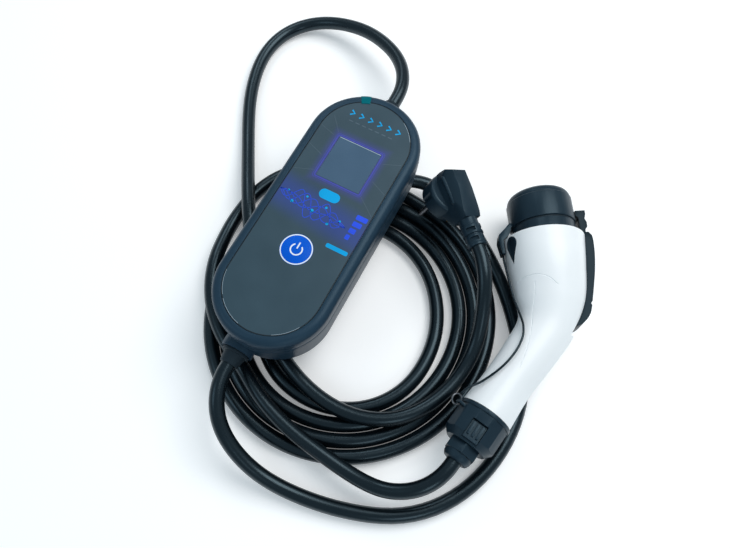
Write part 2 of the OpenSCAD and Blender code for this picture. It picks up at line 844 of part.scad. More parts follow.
// Ribbed catch in the collar's window
module collar_insert() {
    ribs = 3;
    rib_w = 2;
    rear_gap = 2;
    edge = 1.4;
    size = [window_w_collar - 2 * gap, 2.4, collar_l - window_z - gap - rear_gap];
    pitch = (size.x - 2 * edge - rib_w) / (ribs - 1);
    color(black_plastic) on_handle() translate([-size.x / 2, window_floor, window_z + gap]) {
        cube(size);
        for (k = [0:ribs - 1]) {
            translate([edge + k * pitch, size.y - 0.1, 1]) cube([rib_w, 1.5, size.z - 4]);
        }
    }
}

module gland_nut() {
    hex_l = 8;
    hex_r = 13.4;
    dome_r = 11;
    mouth_r = cable_r + 1.6;
    core_r = cable_r - 1;
    dome_l = nut_l - hex_l;
    color(black_plastic) on_handle() translate([0, 0, collar_l]) difference() {
        union() {
            rotate(30) cylinder(r = hex_r, h = hex_l, $fn = 6);
            translate([0, 0, hex_l - 0.1]) rotate_extrude() polygon([
                [0, 0], [dome_r, 0], [dome_r, dome_l - 3.4], [dome_r - 1.6, dome_l - 0.4],
                [mouth_r, dome_l + 0.1], [0, dome_l + 0.1]]);
        }
        translate([0, 0, -1]) cylinder(r = core_r, h = nut_l + 2);
    }
}

ring_r = 4;
ring_wire_r = 0.7;

module lanyard_ring() {
    color(steel) on_handle() rotate(eye_turn) translate([eye_at + ring_r, 0, eye_z]) rotate([90, 0, 0])
        rotate_extrude() translate([ring_r, 0]) circle(ring_wire_r, $fn = 24);
}

module cap_lanyard() {
    color(cable_black) in_gun() cord(lanyard_route, lanyard_d / 2, 8);
}

// Mains plug: the face at z 0, the pins below it and the cable leaving towards -y
sleeve_r = 7.8;
sleeve_from = 27;
pin_seat = 8;
plug_edge = 3;
plug_h = 15;
back_h = 32;

// Tapered back of the plug: its side, end and plan outlines crossed
module plug_back() {
    foot_half = 11.5;
    top_half = 7.4;
    far_y = plug_r - 2;
    rear_y = -sleeve_from - 3;
    wall_h = 18;
    side = [
        [far_y, 4], [far_y, wall_h], [far_y - 2, back_h - 6], [far_y - 6, back_h], [-6, back_h],
        [rear_y, neck_z + sleeve_r], [rear_y, neck_z - sleeve_r], [-plug_r + 2, 4]];
    ends = [
        [-foot_half, 0], [foot_half, 0], [foot_half, wall_h], [top_half + 0.8, back_h - 2.5],
        [top_half - 1, back_h + 1], [1 - top_half, back_h + 1], [-top_half - 0.8, back_h - 2.5],
        [-foot_half, wall_h]];
    plan = [
        [-7.5, far_y + 1], [7.5, far_y + 1], [foot_half, 9], [foot_half, -2], [sleeve_r, rear_y],
        [-sleeve_r, rear_y], [-foot_half, -2], [-foot_half, 9]];
    intersection() {
        translate([-foot_half - 1, 0, 0]) rotate([90, 0, 90])
            linear_extrude(2 * foot_half + 2) polygon(side);
        translate([0, plug_r + 1, 0]) rotate([90, 0, 0])
            linear_extrude(plug_r + sleeve_from + 6) polygon(ends);
        linear_extrude(back_h + 1) polygon(plan);
    }
}

// Rounded rod on each flank of the back, for the fingers
module plug_grips() {
    rod_r = 1.9;
    rod_l = 23;
    lean = 3;
    for (side = [-1, 1]) {
        translate([side * 10, 9, 22]) rotate([0, 0, -side * lean]) {
            rotate([90, 0, 0]) cylinder(r = rod_r, h = rod_l);
            sphere(rod_r);
            translate([0, -rod_l, 0]) sphere(rod_r);
        }
    }
}

// Bend relief turned about the cable: rings with two rows of slots between them
module plug_sleeve() {
    ring_r = sleeve_r + 0.7;
    turned_l = neck_end - sleeve_from;
    mouth_r = cable_r + 1.6;
    waist_r = sleeve_r - 0.4;
    second_r = ring_r - 0.5;
    slot_zs = [turned_l - 15.2, turned_l - 6.9];
    slot_l = 3.4;
    translate([0, -sleeve_from, neck_z]) rotate([90, 0, 0]) difference() {
        rotate_extrude() polygon([
            [0, 0], [sleeve_r, 0], [sleeve_r, turned_l - 18], [ring_r, turned_l - 17.5],
            [ring_r, turned_l - 10.2], [waist_r, turned_l - 9.8], [waist_r, turned_l - 8.8],
            [second_r, turned_l - 8.4], [second_r, turned_l - 2.2], [mouth_r, turned_l - 1.6],
            [mouth_r, turned_l], [0, turned_l]]);
        for (z = slot_zs, turn = [45:90:315]) {
            rotate(turn) translate([sleeve_r - 2, -3.6, z]) cube([5, 7.2, slot_l]);
        }
    }
}

module plug_body() {
    color(black_plastic) in_plug() difference() {
        union() {
            rotate_extrude() polygon(concat(
                [[0, 0], [plug_r - 0.8, 0], [plug_r, 0.8]],
                arc([plug_r - plug_edge, plug_h - plug_edge], plug_edge, 0, 90), [[0, plug_h]]));
            plug_back();
            plug_grips();
            plug_sleeve();
        }
        for (side = [-1, 1]) {
            translate([side * pin_gap / 2, 0, -1]) cylinder(r = pin_r - 0.4 + fit, h = pin_seat + 1);
            translate([-3.2, side * (plug_r - 0.6) - 0.6, -1]) cube([6.4, 1.2, 11]);
            translate([side * (plug_r + 1.2), 0, -1]) cylinder(r = 3, h = 12);
        }
    }
}

module plug_pins() {
    tip = 1;
    root_r = pin_r - 0.4;
    color(steel) in_plug() for (side = [-1, 1]) {
        translate([side * pin_gap / 2, 0, 0]) rotate_extrude() polygon([
            [0, pin_seat], [root_r, pin_seat], [root_r, 0], [pin_r, 0], [pin_r, tip - pin_l],
            [pin_r - tip, -pin_l], [0, -pin_l]]);
    }
}

module plug_earth_clips() {
    color(brass) in_plug() for (side = [-1, 1]) {
        translate([-3, side * (plug_r - 0.6) - 0.4, 0.4]) cube([6, 0.8, 9.3]);
    }
}

// Cords

module supply_cord() {
    color(cable_black) layout() cord(supply_route, cable_r, 10);
}

module vehicle_cord_lead() {
    color(cable_black) layout() cord(lead_route, cable_r, 10);
}

// Flat coil: neighbouring turns meet along their sides
module vehicle_cord_coil() {
    pitch = 0.985 * cable_d;
    color(cable_black) layout() translate([coil_at.x, coil_at.y, cable_r]) rotate_extrude($fn = 96)
        for (k = [0:coil_turns - 1]) {
            translate([coil_r + pitch * k, 0]) circle(cable_r, $fn = 32);
        }
}

module vehicle_cord_tail() {
    color(cable_black) layout() cord(tail_route, cable_r, 10);
}

rear_shell();
front_cover();
fascia_panel();
display_window();
lcd_module();
touch_key();
film_pull_tab();
sealing_gasket();
main_board();
board_screws();
power_relays();
current_transformer();
supply_transformer();
smoothing_capacitors();
supply_terminals();
output_terminals();
housing_screws();
supply_gland();
output_gland();
body_upper();
body_lower();
body_screws();
side_insert();
nose_housing();
nose_seal();
contact_carrier();
power_contacts();
earth_contact();
signal_contacts();
latch_bracket();
lever_pin();
lever_spring();
latch_lever();
dust_cap();
end_collar();
collar_insert();
gland_nut();
lanyard_ring();
cap_lanyard();
plug_body();
plug_pins();
plug_earth_clips();
supply_cord();
vehicle_cord_lead();
vehicle_cord_coil();
vehicle_cord_tail();
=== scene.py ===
import json
import math

import bmesh
import bpy
from mathutils import Matrix, Vector
from mathutils.bvhtree import BVHTree


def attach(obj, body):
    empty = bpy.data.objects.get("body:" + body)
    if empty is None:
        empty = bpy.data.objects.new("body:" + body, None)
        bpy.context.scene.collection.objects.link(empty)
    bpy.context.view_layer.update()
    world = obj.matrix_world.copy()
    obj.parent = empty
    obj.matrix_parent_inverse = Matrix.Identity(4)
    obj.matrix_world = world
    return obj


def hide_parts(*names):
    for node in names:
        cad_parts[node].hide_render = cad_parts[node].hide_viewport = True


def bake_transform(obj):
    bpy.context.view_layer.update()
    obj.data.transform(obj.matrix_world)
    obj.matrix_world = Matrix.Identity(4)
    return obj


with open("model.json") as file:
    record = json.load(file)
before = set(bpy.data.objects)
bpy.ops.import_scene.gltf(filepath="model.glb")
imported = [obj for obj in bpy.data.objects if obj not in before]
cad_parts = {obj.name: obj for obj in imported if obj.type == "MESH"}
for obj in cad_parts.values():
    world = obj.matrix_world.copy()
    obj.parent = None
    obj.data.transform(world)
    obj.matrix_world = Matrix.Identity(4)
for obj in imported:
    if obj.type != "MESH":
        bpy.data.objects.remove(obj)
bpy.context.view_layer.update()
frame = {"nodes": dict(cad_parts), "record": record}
nodes = frame["nodes"]

# Layout of the part in millimetres, as in the CAD source, and its origin
MM = 0.001
ORIGIN = (35.17, -9.54)
CABLE_D = 12.0
BOX_HALF = 118.0
BOX_R = 47.5
GLAND_L = 15.4


def at(x, y, z):
    return Vector(((x - ORIGIN[0]) * MM, (y - ORIGIN[1]) * MM, z * MM))


def turn(axis, degrees):
    return Matrix.Rotation(math.radians(degrees), 4, axis)


BOX = Matrix.Translation(at(-35, 24, 24.3)) @ turn("Z", 62)
GUN = Matrix.Translation(at(149, 20, 32)) @ turn("Z", 4)
HANDLE = GUN @ Matrix.Translation(Vector((-68.5, -143, 0)) * MM) @ turn("Z", -41) @ turn("X", 90)
PLUG = Matrix.Translation(at(64, 50, 37)) @ turn("Z", 17) @ turn("Y", 30)


def place(matrix, point):
    return matrix @ (Vector(point) * MM)


# Materials

# Blue tint of the reflections on the dark plastics, the blue prints and the cable: a painted reflection of a
# blue sky
SKY_SHEEN_TINT = (0.6, 0.85, 1.0)
NEUTRAL = (1.0, 1.0, 1.0)
TONE_SCALE = 40.0
GLOSS_SPREAD = 0.06
GRAIN_DEPTH = 0.0002


def socket(node, name, value):
    node.inputs[name].default_value = value


def surface(
    name, colour, rough, specular=0.3, tint=NEUTRAL, spread=0.08, grain=0.1, grain_scale=1500.0, metallic=0.0
):
    """A moulded or cast surface: slight tone changes, uneven gloss and a fine grain."""
    mat = bpy.data.materials.new(name)
    mat.use_nodes = True
    tree = mat.node_tree
    bsdf = tree.nodes["Principled BSDF"]
    socket(bsdf, "Metallic", metallic)
    socket(bsdf, "Specular IOR Level", specular)
    socket(bsdf, "Specular Tint", (*tint, 1))
    coord = tree.nodes.new("ShaderNodeTexCoord")
    broad = tree.nodes.new("ShaderNodeTexNoise")
    socket(broad, "Scale", TONE_SCALE)
    socket(broad, "Detail", 4.0)
    tree.links.new(coord.outputs["Object"], broad.inputs["Vector"])
    tone = tree.nodes.new("ShaderNodeValToRGB")
    tone.color_ramp.elements[0].position = 0.3
    tone.color_ramp.elements[1].position = 0.7
    tone.color_ramp.elements[0].color = [c * (1 - spread) for c in colour] + [1]
    tone.color_ramp.elements[1].color = [c * (1 + spread) for c in colour] + [1]
    tree.links.new(broad.outputs["Fac"], tone.inputs["Fac"])
    tree.links.new(tone.outputs["Color"], bsdf.inputs["Base Color"])
    gloss = tree.nodes.new("ShaderNodeMapRange")
    socket(gloss, "To Min", rough - GLOSS_SPREAD)
    socket(gloss, "To Max", rough + GLOSS_SPREAD)
    tree.links.new(broad.outputs["Fac"], gloss.inputs["Value"])
    tree.links.new(gloss.outputs["Result"], bsdf.inputs["Roughness"])
    fine = tree.nodes.new("ShaderNodeTexNoise")
    socket(fine, "Scale", grain_scale)
    socket(fine, "Detail", 2.0)
    tree.links.new(coord.outputs["Object"], fine.inputs["Vector"])
    bump = tree.nodes.new("ShaderNodeBump")
    socket(bump, "Strength", grain)
    socket(bump, "Distance", GRAIN_DEPTH)
    tree.links.new(fine.outputs["Fac"], bump.inputs["Height"])
    tree.links.new(bump.outputs["Normal"], bsdf.inputs["Normal"])
    return mat


MATERIALS = {
    "housing_plastic": surface("housing_plastic", (0.014, 0.036, 0.062), 0.4, tint=SKY_SHEEN_TINT, grain=0.12),
    "panel": surface("panel", (0.034, 0.068, 0.092), 0.34, spread=0.06, grain=0.04),
    "display": surface("display", (0.06, 0.115, 0.185), 0.22, spread=0.05, grain=0.02),
    "key": surface("key", (0.002, 0.1, 0.62), 0.3, specular=0.12, tint=SKY_SHEEN_TINT, grain=0.03),
    "tab": surface("tab", (0.001, 0.13, 0.16), 0.3, specular=0.05, tint=SKY_SHEEN_TINT, grain=0.04),
    "rubber": surface("rubber", (0.011, 0.018, 0.025), 0.55, tint=SKY_SHEEN_TINT, grain=0.2),
    "board": surface("board", (0.02, 0.13, 0.06), 0.4),
    "lcd": surface("lcd", (0.2, 0.23, 0.26), 0.4),
    "relay_blue": surface("relay_blue", (0.02, 0.06, 0.3), 0.4),
    "dark_component": surface("dark_component", (0.03, 0.03, 0.035), 0.5),
    "transformer_yellow": surface("transformer_yellow", (0.55, 0.4, 0.08), 0.5),
    "terminal_green": surface("terminal_green", (0.04, 0.25, 0.1), 0.45),
    "steel": surface("steel", (0.55, 0.56, 0.58), 0.3, metallic=1.0, grain=0.08),
    "white_shell": surface("white_shell", (0.9, 0.93, 0.95), 0.32, specular=0.4, spread=0.015, grain=0.03),
    "black_trim": surface("black_trim", (0.01, 0.022, 0.034), 0.36, specular=0.32, tint=SKY_SHEEN_TINT, grain=0.16),
    "brass": surface("brass", (0.6, 0.42, 0.14), 0.3, metallic=1.0, grain=0.08),
    "cable": surface(
        "cable", (0.002, 0.004, 0.006), 0.27, specular=0.55, tint=SKY_SHEEN_TINT, grain=0.1, grain_scale=700.0
    ),
}


def add_math(tree, operation, a, b=0.0):
    node = tree.nodes.new("ShaderNodeMath")
    node.operation = operation
    for index, value in enumerate((a, b)):
        if isinstance(value, (int, float)):
            node.inputs[index].default_value = value
        else:
            tree.links.new(value, node.inputs[index])
    return node.outputs["Value"]


def add_fade(tree, value, near, far):
    """One at the near distance, nothing at the far one, smooth between."""
    fade = tree.nodes.new("ShaderNodeMapRange")
    fade.interpolation_type = "SMOOTHSTEP"
    socket(fade, "From Min", near * MM)
    socket(fade, "From Max", far * MM)
    socket(fade, "To Min", 1.0)
    socket(fade, "To Max", 0.0)
    tree.links.new(value, fade.inputs["Value"])
    return fade.outputs["Result"]


def add_tint(tree, colour, factor):
    """Mixes a colour into the base colour of a material."""
    base = tree.nodes["Principled BSDF"].inputs["Base Color"]
    mix = tree.nodes.new("ShaderNodeMix")
    mix.data_type = "RGBA"
    tree.links.new(base.links[0].from_socket, mix.inputs["A"])
    mix.inputs["B"].default_value = (*colour, 1)
    tree.links.new(factor, mix.inputs["Factor"])
    tree.links.new(mix.outputs["Result"], base)


# On the front panel, in the box's frame: the display's middle and half sizes, and the slanted light band
DISPLAY_AT = 47
DISPLAY_HALF_U = 20
DISPLAY_HALF_V = 19
BAND_SLOPE = 0.12
BAND_AT = -1


def print_glow(mat):
    """The printed glow of the front panel: round the display and along the band under it."""
    tree = mat.node_tree
    coord = tree.nodes.new("ShaderNodeTexCoord")
    mapping = tree.nodes.new("ShaderNodeMapping")
    inverse = BOX.inverted()
    mapping.inputs["Location"].default_value = inverse.to_translation()
    mapping.inputs["Rotation"].default_value = inverse.to_euler()
    tree.links.new(coord.outputs["Object"], mapping.inputs["Vector"])
    split = tree.nodes.new("ShaderNodeSeparateXYZ")
    tree.links.new(mapping.outputs["Vector"], split.inputs["Vector"])
    u, v = split.outputs["X"], split.outputs["Y"]
    from_middle = add_math(tree, "ABSOLUTE", add_math(tree, "SUBTRACT", u, DISPLAY_AT * MM))
    out_u = add_math(tree, "SUBTRACT", from_middle, DISPLAY_HALF_U * MM)
    out_v = add_math(tree, "SUBTRACT", add_math(tree, "ABSOLUTE", v), DISPLAY_HALF_V * MM)
    round_display = add_fade(tree, add_math(tree, "MAXIMUM", out_u, out_v), 0.0, 9.0)
    add_tint(tree, (0.05, 0.06, 0.26), add_math(tree, "MULTIPLY", round_display, 0.75))
    across = add_math(tree, "ADD", add_math(tree, "MULTIPLY", v, -BAND_SLOPE), u)
    off_band = add_math(tree, "ABSOLUTE", add_math(tree, "ADD", across, -BAND_AT * MM))
    along_band = add_fade(tree, off_band, 3.0, 22.0)
    add_tint(tree, (0.03, 0.06, 0.34), add_math(tree, "MULTIPLY", along_band, 0.55))


print_glow(MATERIALS["panel"])
PRINTS = {
    "print_blue": surface("print_blue", (0.012, 0.075, 0.78), 0.35, grain=0.03),
    "print_cyan": surface("print_cyan", (0.006, 0.36, 0.74), 0.35, specular=0.12, tint=SKY_SHEEN_TINT, grain=0.03),
    "print_violet": surface("print_violet", (0.055, 0.07, 0.42), 0.35, grain=0.03),
    # Painted shade of the gap round the panel
    "gap_shade": surface("gap_shade", (0.004, 0.008, 0.012), 0.5, grain=0.03),
    # Pale print, and the painted highlights on the panel's edge
    "pale_print_and_glint": surface("pale_print_and_glint", (0.42, 0.52, 0.6), 0.35, grain=0.03),
    "print_faint": surface("print_faint", (0.085, 0.13, 0.17), 0.35, grain=0.03),
    "print_white": surface("print_white", (0.82, 0.88, 0.95), 0.35, grain=0.03),
}
for entry in frame["record"]["subparts"]:
    node = nodes[entry["node"]]
    node.data.materials.clear()
    node.data.materials.append(MATERIALS[entry["material_slot"]])
# The ring and the pins get a darker copy of the steel, and the lever a darker and duller copy of the trim:
# painted shade, so that they look as in shade
shaded_steel = surface("shaded_steel", (0.16, 0.17, 0.185), 0.36, metallic=1.0, grain=0.1)
shaded_lever_trim = surface("shaded_lever_trim", (0.007, 0.013, 0.019), 0.42, specular=0.2, tint=SKY_SHEEN_TINT, grain=0.16)
for name, look in (("lanyard_ring", shaded_steel), ("plug_pins", shaded_steel), ("latch_lever", shaded_lever_trim)):
    nodes[name].data.materials[0] = look


def finish_piece(obj, slot, body="base", replaces=(), material=None):
    """Puts a new piece in the scene with its material, body and the CAD nodes it stands for."""
    bpy.context.scene.collection.objects.link(obj)
    obj.data.materials.append(material or MATERIALS[slot])
    if body:
        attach(obj, body)
    if replaces:
        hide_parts(*replaces)


def mesh_object(name, vertices, faces, smooth_faces=False):
    data = bpy.data.meshes.new(name)
    data.from_pydata([tuple(v) for v in vertices], [], faces)
    work = bmesh.new()
    work.from_mesh(data)
    bmesh.ops.recalc_face_normals(work, faces=work.faces)
    work.to_mesh(data)
    work.free()
    data.polygons.foreach_set("use_smooth", [smooth_faces] * len(data.polygons))
    return bpy.data.objects.new(name, data)


# Moulded edges of the CAD solids: width of each rounding in millimetres, none for round wire

EDGES = {
    "rear_shell": 0.7, "front_cover": 0.6, "latch_lever": 1.1, "dust_cap": 0.5, "end_collar": 0.8,
    "gland_nut": 0.6, "plug_body": 0.8, "nose_housing": 0.4, "collar_insert": 0.4, "supply_gland": 0.5,
    "output_gland": 0.5, "touch_key": 0.15, "display_window": 0.15, "fascia_panel": 0.15,
    "film_pull_tab": 0.08, "side_insert": 0.35, "nose_seal": 0.2, "contact_carrier": 0.3, "plug_pins": 0.2,
    "plug_earth_clips": 0.1, "lanyard_ring": 0.0, "latch_bracket": 0.3, "lever_pin": 0.15,
    "lever_spring": 0.0, "power_contacts": 0.1, "earth_contact": 0.1, "signal_contacts": 0.1,
}
# Smooth shading would leave streaks on the flat faces of these
FLAT = ("fascia_panel", "display_window")
WELD_M = 0.000005
EDGE_ANGLE = 28
for name, width in EDGES.items():
    node = nodes[name]
    node.data.polygons.foreach_set("use_smooth", [name not in FLAT] * len(node.data.polygons))
    weld = node.modifiers.new("weld", "WELD")
    weld.merge_threshold = WELD_M
    if width > 0:
        bevel = node.modifiers.new("edges", "BEVEL")
        bevel.width = width * MM
        bevel.segments = 3
        bevel.limit_method = "ANGLE"
        bevel.angle_limit = math.radians(EDGE_ANGLE)
        bevel.harden_normals = True


# Cords


def smooth(rows, steps):
    """A smooth curve through rows of numbers, with that many steps between neighbours."""
    first = [2 * a - b for a, b in zip(rows[0], rows[1])]
    last = [2 * a - b for a, b in zip(rows[-1], rows[-2])]
    p = [first, *rows, last]
    out = []
    for i in range(1, len(p) - 2):
        for k in range(steps):
            t = k / steps
            out.append([
                0.5 * (2 * b + (c - a) * t + (2 * a - 5 * b + 4 * c - d) * t * t
                       + (3 * b - a - 3 * c + d) * t**3)
                for a, b, c, d in zip(*p[i - 1 : i + 3])
            ])
    return [*out, list(rows[-1])]


def relaxed(points, steps):
    """A curve that bends evenly past the points, as a stiff cable lies.

    It starts by the second point and ends by the last but one.
    """
    p = [Vector(q) for q in points]
    out = []
    for a, b, c, d in zip(p, p[1:], p[2:], p[3:]):
        for k in range(steps):
            t = k / steps
            out.append((
                (1 - t) ** 3 * a + (3 * t**3 - 6 * t**2 + 4) * b
                + (3 * t * (1 + t - t**2) + 1) * c + t**3 * d
            ) / 6)
    return [*out, (p[-3] + 4 * p[-2] + p[-1]) / 6]


def round_cord(name, points, diameter):
    data = bpy.data.curves.new(name, "CURVE")
    data.dimensions = "3D"
    data.bevel_depth = diameter / 2
    data.bevel_resolution = 6
    data.use_fill_caps = True
    spline = data.splines.new("POLY")
    spline.points.add(len(points) - 1)
    for target, p in zip(spline.points, points):
        target.co = (*p, 1)
    return bpy.data.objects.new(name, data)


COIL_AT = (-16, -32)


def polar(degrees, radius, z):
    a = math.radians(degrees)
    return (COIL_AT[0] + radius * math.cos(a), COIL_AT[1] + radius * math.sin(a), z)


def mouth(matrix, point, direction, step=9.0):
    """The points at a cable's end: a little way inside the piece, on its face and straight out of it."""
    return [place(matrix, Vector(point) + k * step * Vector(direction)) for k in (-1, 0, 1)]


# Where the cables leave the two glands of the box, the connector's nut and the plug's neck
GLAND_MOUTH = BOX_HALF + GLAND_L
supply_start = mouth(BOX, (GLAND_MOUTH, 4, 17), (1, 0, 0))
output_start = mouth(BOX, (-GLAND_MOUTH, 7, 17), (-1, 0, 0))
nut_start = mouth(HANDLE, (0, 0, 42), (0, 0, 1))
neck_start = mouth(PLUG, (0, -54, 20), (0, -1, 0))

SUPPLY = [
    (32.2, 160.5, 41.1), (34.5, 172, 40.3), (34, 187, 38.3), (29, 204, 35), (19, 221, 31), (4, 239, 25.5),
    (-15, 253, 19), (-38, 262.5, 12.5), (-61, 262.5, 8), (-82, 252, 6.2), (-97, 232, 6), (-105, 208, 6),
    (-109, 180, 6), (-109, 152, 6), (-107, 122, 8), (-104, 88, 15.5), (-101.5, 62, 20.2), (-99.3, 43, 21),
    (-97, 25, 19.8), (-92, -10, 18.15), (-83, -46, 18.15), (-66, -81, 18.15), (-41, -109, 18.15),
    (-10, -127, 18.15), (22, -129.5, 18.15), (46, -120, 18.15), (64.5, -106, 18.15), (77, -91, 18.8),
    (85, -77, 22), (89.8, -63.5, 28.5), (92.3, -50, 37.5), (93.6, -36, 46), (93.8, -22, 52),
]
LEAD = [
    (-111, -110, 40.6), (-111.4, -122, 38), (-109, -133.7, 34), (-103.8, -144.5, 29),
    (-96.5, -154.2, 23.5), (-87.5, -163, 17.8), (-75, -172, 12), (-58, -180.5, 8), (-36, -188.8, 6.2),
    (-12, -195, 6), (20, -199.5, 6), (52, -194, 6), (82, -177, 6), (106, -151, 6), (122, -121, 6),
    (128, -90, 6), (126, -55, 6), (119, -20, 6), (109, 8, 6), (98, 32, 6),
]
# From the end of the lead, over the turns and down inside them, hidden by the plug and the box
CROSSING = [
    (88, 50, 8), (76, 66, 12.5), (59, 78, 17.4), (38, 83, 18.15), (14, 79, 18.15), (-8, 67, 18.15),
    (-29, 50, 18.15),
]
# Angle, radius and height of the way in
COIL_IN = [
    (113, 72, 18.15), (130, 66.5, 15.5), (148, 65, 10.5), (168, 66.5, 6.4), (190, 71, 6), (212, 76, 6),
    (235, 81, 6), (270, 86, 6), (300, 85, 6), (330, 79.5, 6), (360, 76, 6), (390, 76, 6), (420, 77.5, 6),
    (450, 78.5, 6), (490, 79.3, 6), (515, 83, 6),
]
# Angle and radius of one turn on the floor: each later turn lies a step further out
TURN = [
    (540, 87), (570, 92.5), (600, 97), (630, 98.5), (660, 98), (690, 96), (720, 94.5), (750, 92),
    (780, 90.6), (810, 90.7), (850, 91.3), (875, 95.2),
]
TURN_STEP = 12.4
TURNS = 3
# Angle, radius and height of the last pass: it swings out under the box and climbs on the turns
COIL_OUT = [
    (1515, 122.5, 6), (1530, 131, 6), (1543, 137, 6), (1555, 138.5, 6), (1566, 135.5, 6), (1576, 130, 6.2),
    (1584, 125.5, 7.8), (1591, 121.5, 10.8), (1600, 117.5, 15), (1610, 113.4, 17.6), (1620, 109.5, 18.15),
    (1630, 105.4, 18.15), (1641, 101, 18.15),
]
COIL = [
    *COIL_IN,
    *[
        (a + 360 * k, r + TURN_STEP * k, CABLE_D / 2)
        for k in range(TURNS) for a, r in TURN if a + 360 * k < COIL_OUT[0][0]
    ],
    *COIL_OUT,
]
TAIL = [
    (-95.5, -89, 18.15), (-86, -105.5, 18.15), (-74, -120.5, 18.15), (-60.5, -133.5, 18.15),
    (-46, -145, 18.15), (-31.5, -155, 18.15), (-18.5, -164, 18), (-6.5, -171.5, 18.4), (5, -177.5, 19.8),
    (16, -181.2, 22.2), (28, -182.3, 25.3), (39.8, -180.5, 28.5), (50.7, -175.7, 30.9),
]

supply_line = relaxed([*supply_start, *[at(*p) for p in SUPPLY], *reversed(neck_start)], steps=5)
supply = round_cord("supply_cable", supply_line, CABLE_D * MM)
finish_piece(supply, "cable", replaces=["supply_cord"])

vehicle_points = [*LEAD, *CROSSING, *[polar(*p) for p in smooth(COIL, steps=4)], *TAIL]
vehicle_line = relaxed([*output_start, *[at(*p) for p in vehicle_points], *reversed(nut_start)], steps=4)
vehicle = round_cord("vehicle_cable", vehicle_line, CABLE_D * MM)
finish_piece(vehicle, "cable", replaces=["vehicle_cord_lead", "vehicle_cord_coil", "vehicle_cord_tail"])

# White connector shell: two halves lofted through the same stations as the solids

# Middle of each section, its lean in degrees, half width and half height
STATIONS = [
    (-68.5, -143, 41, 20.7, 20.7), (-50, -122, 41, 19, 19), (-31, -101, 38, 20, 19),
    (-12, -78, 24, 22.5, 19.6), (-5, -56, 9, 28, 25), (-3.2, -28, 4, 31.4, 31.3), (-1.3, -4, 2, 33, 32),
]
SHELL_STEPS = 14
SHELL_SIDES = 72
SHELL_SHARP = 35
WALL = 3.0
PARTING = 0.14
# Rounded front lip: how far forward and how far in
LIP = [(0.35, 0.05), (0.65, 0.2), (0.85, 0.45), (0.95, 0.8)]


def section_point(row, angle, drop):
    x, y, lean, half_w, half_h = row
    lean = math.radians(lean)
    across = (half_w - drop) * math.cos(angle)
    height = (half_h - drop) * math.sin(angle)
    return Vector((x + across * math.cos(lean), y - across * math.sin(lean), height))


def shell_half(name, side):
    """One half of the shell in the connector's frame, open inside, with a rounded front lip."""
    rows = smooth(STATIONS, SHELL_STEPS)
    front = rows[-1]
    outer_rows = [(row, 0.0) for row in rows]
    outer_rows += [([front[0], front[1] + ahead, *front[2:]], inward) for ahead, inward in LIP]
    angles = [math.pi * k / SHELL_SIDES for k in range(SHELL_SIDES + 1)]
    loops = []
    for row, drop in outer_rows:
        ring = [section_point(row, a, drop) for a in angles]
        ring += [section_point(row, a, WALL) for a in reversed(angles)]
        loops.append([Vector((p.x, p.y, side * max(p.z, PARTING))) for p in ring])
    size = len(loops[0])
    vertices = [p * MM for ring in loops for p in ring]
    faces = [
        (i * size + j, i * size + (j + 1) % size, (i + 1) * size + (j + 1) % size, (i + 1) * size + j)
        for i in range(len(loops) - 1) for j in range(size)
    ]
    last = (len(loops) - 1) * size
    for k in range(SHELL_SIDES):
        for base in (0, last):
            faces.append((base + k, base + k + 1, base + size - 2 - k, base + size - 1 - k))
    return mesh_object(name, vertices, faces, True)


def prism_object(name, outline, low, high, matrix=None):
    """A closed prism over a flat outline in millimetres."""
    n = len(outline)
    vertices = [Vector((x, y, z)) * MM for z in (low, high) for x, y in outline]
    if matrix:
        vertices = [matrix @ v for v in vertices]
    faces = [tuple(range(n)), tuple(range(n, 2 * n))]
    faces += [(k, (k + 1) % n, n + (k + 1) % n, n + k) for k in range(n)]
    return mesh_object(name, vertices, faces)


def arc_points(cx, cy, r, start, stop, count):
    angles = [math.radians(start + (stop - start) * k / count) for k in range(count + 1)]
    return [(cx + r * math.cos(a), cy + r * math.sin(a)) for a in angles]


def circle(cx, cy, r, count):
    return arc_points(cx, cy, r, 0, 360 - 360 / count, count - 1)


def tube_mesh(name, points, radius, sides=12):
    """A round tube along the points, closed at both ends."""
    vertices, faces = [], []
    side = None
    for i, p in enumerate(points):
        along = (points[min(i + 1, len(points) - 1)] - points[max(i - 1, 0)]).normalized()
        side = along.orthogonal() if side is None else side - along * side.dot(along)
        side.normalize()
        other = along.cross(side)
        for k in range(sides):
            a = 2 * math.pi * k / sides
            vertices.append(p + radius * (math.cos(a) * side + math.sin(a) * other))
    for i in range(len(points) - 1):
        for k in range(sides):
            j = (k + 1) % sides
            faces.append((i * sides + k, i * sides + j, (i + 1) * sides + j, (i + 1) * sides + k))
    faces.append(tuple(range(sides)))
    faces.append(tuple(range((len(points) - 1) * sides, len(points) * sides)))
    return mesh_object(name, vertices, faces, True)


def cut(obj, cutters):
    """Takes each cutter out of the object and leaves a plain mesh."""
    scene = bpy.context.scene
    scene.collection.objects.link(obj)
    for cutter in cutters:
        scene.collection.objects.link(cutter)
        change = obj.modifiers.new("cut", "BOOLEAN")
        change.operation = "DIFFERENCE"
        change.solver = "EXACT"
        change.object = cutter
    graph = bpy.context.evaluated_depsgraph_get()
    data = bpy.data.meshes.new_from_object(obj.evaluated_get(graph))
    scene.collection.objects.unlink(obj)
    result = bpy.data.objects.new(obj.name + "_cut", data)
    for cutter in cutters:
        bpy.data.objects.remove(cutter)
    return result


# Slot of the latch lever, through both halves
SLOT = [
    (25.4, 6), (25.4, -12), (16.4, -12), (16.4, -35), (22.4, -35), (18.9, -46), (14.6, -58), (10.8, -68),
    (5.5, -76), (0, -82.5), (3, -88), (60, -88), (60, 6),
]
SLOT_HALF = 10.6
